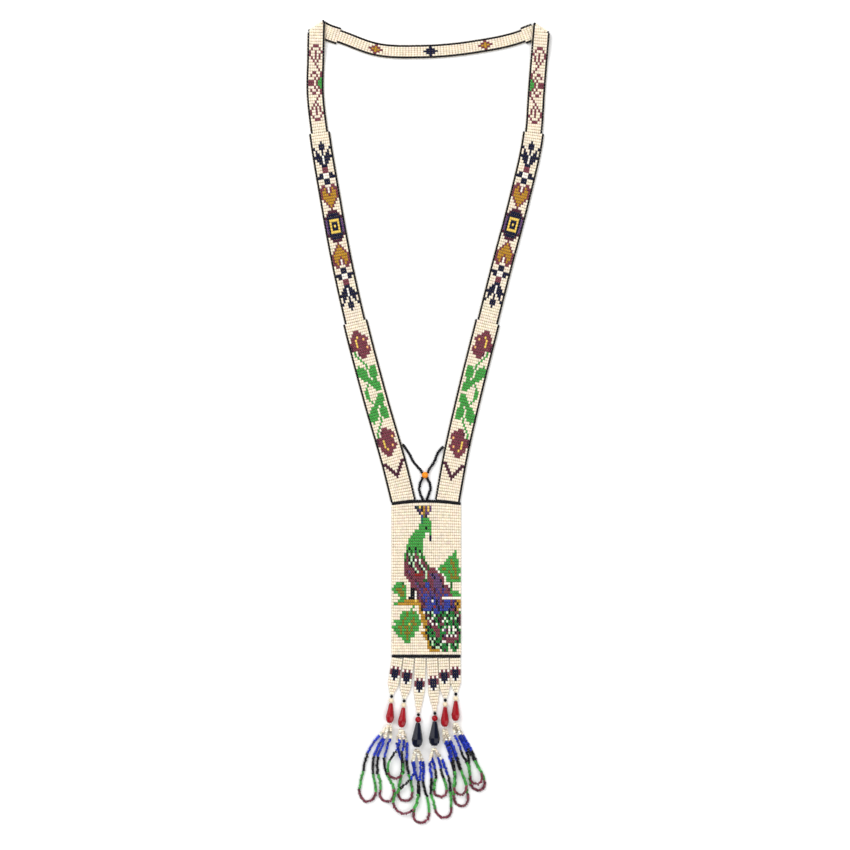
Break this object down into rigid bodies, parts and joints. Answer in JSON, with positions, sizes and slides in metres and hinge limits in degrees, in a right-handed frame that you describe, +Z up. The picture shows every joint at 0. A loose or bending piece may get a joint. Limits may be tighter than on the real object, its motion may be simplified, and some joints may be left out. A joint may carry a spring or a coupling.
{
  "type": "beaded loom-work necklace with peacock panel",
  "caption": "Loom-beaded flat necklace: tapering straps, wide bird panel, pointed tabs with faceted glass drops and looped bead fringe.",
  "frame": {"origin": "centre of the peacock panel's back face", "axes": "+Y along the length from the fringe to the neck band, +X to the right across the panel, +Z up out of the face"},
  "size_m": [0.1793, 0.594, 0.0084],
  "materials": {
    "woven_beads": "lustrous opaque seed beads, cream ground with coloured motifs",
    "black_beads": "glossy black seed beads",
    "fringe_beads": "seed beads in cream, blue, black, green and garnet",
    "cream_glass": "polished round bead",
    "red_glass": "faceted and polished",
    "dark_glass": "faceted and polished",
    "orange_glass": "polished round bead",
    "thread": "waxed cotton"
  },
  "bodies": {
    "panel": {"peacock_panel": "woven_beads", "panel_top_row": "black_beads", "panel_bottom_row": "black_beads"},
    "left_lower": {"left_lower_strap": "woven_beads", "left_link_strand": "black_beads", "left_bow_strand": "black_beads"},
    "right_lower": {"right_lower_strap": "woven_beads", "right_link_strand": "black_beads", "right_bow_strand": "black_beads"},
    "left_middle": {"left_middle_strap": "woven_beads"},
    "right_middle": {"right_middle_strap": "woven_beads"},
    "left_upper": {"left_upper_strap": "woven_beads"},
    "right_upper": {"right_upper_strap": "woven_beads"},
    "neck": {"neck_band": "woven_beads"},
    "link_bead": {"link_bead": "orange_glass"},
    "tab_1": {"tab_1": "woven_beads"},
    "thread_1": {"drop_thread_1": "thread", "tip_bead_1": "black_beads", "collar_bead_1": "cream_glass"},
    "drop_1": {"drop_1": "red_glass"},
    "fringe_1": {"fringe_loop_1a": "fringe_beads", "fringe_loop_1b": "fringe_beads"},
    "tab_2": {"tab_2": "woven_beads"},
    "thread_2": {"drop_thread_2": "thread", "tip_bead_2": "black_beads", "collar_bead_2": "cream_glass"},
    "drop_2": {"drop_2": "red_glass"},
    "fringe_2": {"fringe_loop_2a": "fringe_beads", "fringe_loop_2b": "fringe_beads"},
    "tab_3": {"tab_3": "woven_beads"},
    "thread_3": {"drop_thread_3": "thread", "tip_bead_3": "black_beads", "collar_bead_3": "red_glass"},
    "drop_3": {"drop_3": "dark_glass"},
    "fringe_3": {"fringe_loop_3a": "fringe_beads", "fringe_loop_3b": "fringe_beads"},
    "tab_4": {"tab_4": "woven_beads"},
    "thread_4": {"drop_thread_4": "thread", "tip_bead_4": "black_beads", "collar_bead_4": "red_glass"},
    "drop_4": {"drop_4": "dark_glass"},
    "fringe_4": {"fringe_loop_4a": "fringe_beads", "fringe_loop_4b": "fringe_beads"},
    "tab_5": {"tab_5": "woven_beads"},
    "thread_5": {"drop_thread_5": "thread", "tip_bead_5": "black_beads", "collar_bead_5": "cream_glass"},
    "drop_5": {"drop_5": "red_glass"},
    "fringe_5": {"fringe_loop_5a": "fringe_beads", "fringe_loop_5b": "fringe_beads"},
    "tab_6": {"tab_6": "woven_beads"},
    "thread_6": {"drop_thread_6": "thread", "tip_bead_6": "black_beads", "collar_bead_6": "cream_glass"},
    "drop_6": {"drop_6": "red_glass"},
    "fringe_6": {"fringe_loop_6a": "fringe_beads", "fringe_loop_6b": "fringe_beads"}
  },
  "joints": [
    {"name": "left_seam", "type": "hinge", "parent": "panel", "child": "left_lower", "pos_m": [-0.0166, 0.05705, 0.00105], "axis": [1, 0, 0], "range_deg": [-90, 90]},
    {"name": "left_fold_low", "type": "hinge", "parent": "left_lower", "child": "left_middle", "pos_m": [-0.0525, 0.1902, 0.00105], "axis": [1, 0, 0], "range_deg": [-90, 90]},
    {"name": "left_fold_high", "type": "hinge", "parent": "left_middle", "child": "left_upper", "pos_m": [-0.0789, 0.3302, 0.00105], "axis": [1, 0, 0], "range_deg": [-90, 90]},
    {"name": "neck_fold", "type": "hinge", "parent": "left_upper", "child": "neck", "pos_m": [-0.081, 0.4129, 0.00218], "axis": [1, 0, 0], "range_deg": [0, 60]},
    {"name": "tab_1_lift", "type": "hinge", "parent": "panel", "child": "tab_1", "pos_m": [-0.02131, -0.05705, 0.00105], "axis": [1, 0, 0], "range_deg": [-90, 90]},
    {"name": "tab_2_lift", "type": "hinge", "parent": "panel", "child": "tab_2", "pos_m": [-0.01279, -0.05705, 0.00105], "axis": [1, 0, 0], "range_deg": [-90, 90]},
    {"name": "tab_3_lift", "type": "hinge", "parent": "panel", "child": "tab_3", "pos_m": [-0.00426, -0.05705, 0.00105], "axis": [1, 0, 0], "range_deg": [-90, 90]},
    {"name": "tab_4_lift", "type": "hinge", "parent": "panel", "child": "tab_4", "pos_m": [0.00426, -0.05705, 0.00105], "axis": [1, 0, 0], "range_deg": [-90, 90]},
    {"name": "tab_5_lift", "type": "hinge", "parent": "panel", "child": "tab_5", "pos_m": [0.01279, -0.05705, 0.00105], "axis": [1, 0, 0], "range_deg": [-90, 90]},
    {"name": "tab_6_lift", "type": "hinge", "parent": "panel", "child": "tab_6", "pos_m": [0.02131, -0.05705, 0.00105], "axis": [1, 0, 0], "range_deg": [-90, 90]},
    {"name": "drop_1_swing", "type": "hinge", "parent": "tab_1", "child": "thread_1", "pos_m": [-0.0256, -0.0867, 0.0016], "axis": [1, 0, 0], "range_deg": [-60, 60]},
    {"name": "drop_2_swing", "type": "hinge", "parent": "tab_2", "child": "thread_2", "pos_m": [-0.0163, -0.09, 0.0016], "axis": [1, 0, 0], "range_deg": [-60, 60]},
    {"name": "drop_3_swing", "type": "hinge", "parent": "tab_3", "child": "thread_3", "pos_m": [-0.0058, -0.1002, 0.00175], "axis": [1, 0, 0], "range_deg": [-60, 60]},
    {"name": "drop_4_swing", "type": "hinge", "parent": "tab_4", "child": "thread_4", "pos_m": [0.0064, -0.0992, 0.00175], "axis": [1, 0, 0], "range_deg": [-60, 60]},
    {"name": "drop_5_swing", "type": "hinge", "parent": "tab_5", "child": "thread_5", "pos_m": [0.0141, -0.0895, 0.0016], "axis": [1, 0, 0], "range_deg": [-60, 60]},
    {"name": "drop_6_swing", "type": "hinge", "parent": "tab_6", "child": "thread_6", "pos_m": [0.0219, -0.0851, 0.0016], "axis": [1, 0, 0], "range_deg": [-60, 60]},
    {"name": "fringe_1_swing", "type": "hinge", "parent": "thread_1", "child": "fringe_1", "pos_m": [-0.02716, -0.10673, 0.00367], "axis": [1, 0, 0], "range_deg": [-60, 60], "deforming": ["fringe_loop_1a", "fringe_loop_1b"]},
    {"name": "fringe_2_swing", "type": "hinge", "parent": "thread_2", "child": "fringe_2", "pos_m": [-0.01841, -0.10998, 0.00367], "axis": [1, 0, 0], "range_deg": [-60, 60], "deforming": ["fringe_loop_2a", "fringe_loop_2b"]},
    {"name": "fringe_3_swing", "type": "hinge", "parent": "thread_3", "child": "fringe_3", "pos_m": [-0.0069, -0.12445, 0.00508], "axis": [1, 0, 0], "range_deg": [-60, 60], "deforming": ["fringe_loop_3a", "fringe_loop_3b"]},
    {"name": "fringe_4_swing", "type": "hinge", "parent": "thread_4", "child": "fringe_4", "pos_m": [0.0059, -0.12347, 0.00508], "axis": [1, 0, 0], "range_deg": [-60, 60], "deforming": ["fringe_loop_4a", "fringe_loop_4b"]},
    {"name": "fringe_5_swing", "type": "hinge", "parent": "thread_5", "child": "fringe_5", "pos_m": [0.0136, -0.10959, 0.00367], "axis": [1, 0, 0], "range_deg": [-60, 60], "deforming": ["fringe_loop_5a", "fringe_loop_5b"]},
    {"name": "fringe_6_swing", "type": "hinge", "parent": "thread_6", "child": "fringe_6", "pos_m": [0.0216, -0.10519, 0.00367], "axis": [1, 0, 0], "range_deg": [-60, 60], "deforming": ["fringe_loop_6a", "fringe_loop_6b"]},
    {"name": "drop_1_spin", "type": "hinge", "parent": "thread_1", "child": "drop_1", "pos_m": [-0.0256, -0.0867, 0.0016], "axis": [-0.0774, -0.9917, 0.1026], "continuous": true},
    {"name": "drop_2_spin", "type": "hinge", "parent": "thread_2", "child": "drop_2", "pos_m": [-0.0163, -0.09, 0.0016], "axis": [-0.1044, -0.9892, 0.1026], "continuous": true},
    {"name": "drop_3_spin", "type": "hinge", "parent": "thread_3", "child": "drop_3", "pos_m": [-0.0058, -0.1002, 0.00175], "axis": [-0.045, -0.9897, 0.1357], "continuous": true},
    {"name": "drop_4_spin", "type": "hinge", "parent": "thread_4", "child": "drop_4", "pos_m": [0.0064, -0.0992, 0.00175], "axis": [-0.0205, -0.9905, 0.1357], "continuous": true},
    {"name": "drop_5_spin", "type": "hinge", "parent": "thread_5", "child": "drop_5", "pos_m": [0.0141, -0.0895, 0.0016], "axis": [-0.025, -0.9944, 0.1026], "continuous": true},
    {"name": "drop_6_spin", "type": "hinge", "parent": "thread_6", "child": "drop_6", "pos_m": [0.0219, -0.0851, 0.0016], "axis": [-0.0148, -0.9946, 0.1026], "continuous": true},
    {"name": "link_bead_spin", "type": "hinge", "parent": "left_lower", "child": "link_bead", "pos_m": [-0.0009, 0.077, 0.00245], "axis": [0, 1, 0], "continuous": true},
    {"name": "right_seam", "type": "hinge", "parent": "panel", "child": "right_lower", "pos_m": [0.0154, 0.05705, 0.00105], "axis": [1, 0, 0], "range_deg": [-90, 90]},
    {"name": "right_fold_low", "type": "hinge", "parent": "right_lower", "child": "right_middle", "pos_m": [0.0454, 0.1902, 0.00105], "axis": [1, 0, 0], "range_deg": [-90, 90]},
    {"name": "right_fold_high", "type": "hinge", "parent": "right_middle", "child": "right_upper", "pos_m": [0.0794, 0.3302, 0.00105], "axis": [1, 0, 0], "range_deg": [-90, 90]}
  ],
  "couplings": [
    {"joint": "right_seam", "follows": "left_seam", "ratio": 1},
    {"joint": "right_fold_low", "follows": "left_fold_low", "ratio": 1},
    {"joint": "right_fold_high", "follows": "left_fold_high", "ratio": 1}
  ]
}
